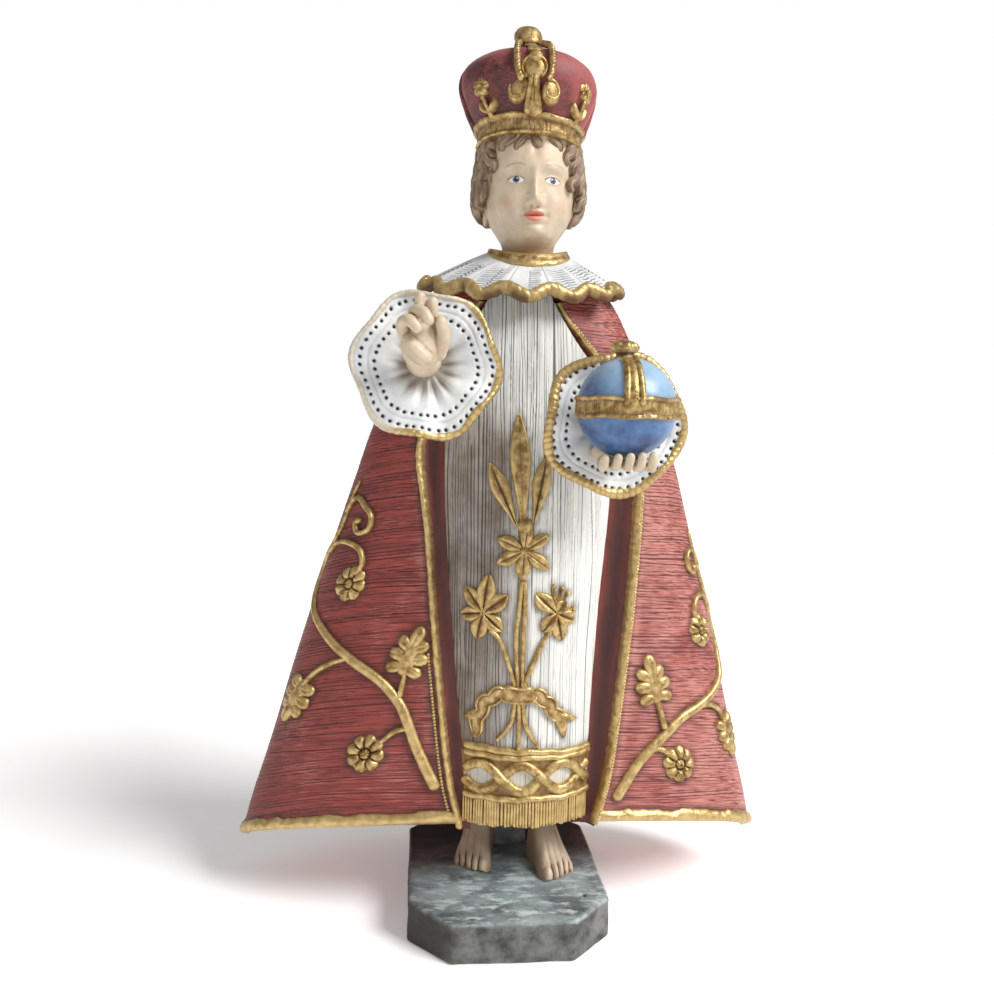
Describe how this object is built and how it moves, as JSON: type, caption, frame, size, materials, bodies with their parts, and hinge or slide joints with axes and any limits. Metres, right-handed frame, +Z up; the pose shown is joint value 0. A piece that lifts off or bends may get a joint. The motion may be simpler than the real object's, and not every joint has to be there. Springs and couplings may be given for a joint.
{
  "type": "devotional figurine",
  "caption": "Painted plaster figure of a crowned child in a bell-shaped mantle, blessing with one hand and holding an orb in the other, on a chamfered plinth.",
  "frame": {"origin": "middle of the plinth's underside", "axes": "+Z up along the figure; the figure faces -Y, and +X is its own left, on the viewer's right"},
  "size_m": [0.1885, 0.1186, 0.297],
  "materials": {
    "plaster": "matt oil paint on cast plaster with a thin satin varnish and antique gold on the trims"
  },
  "bodies": {
    "root": {"statue": "plaster"}
  },
  "joints": []
}
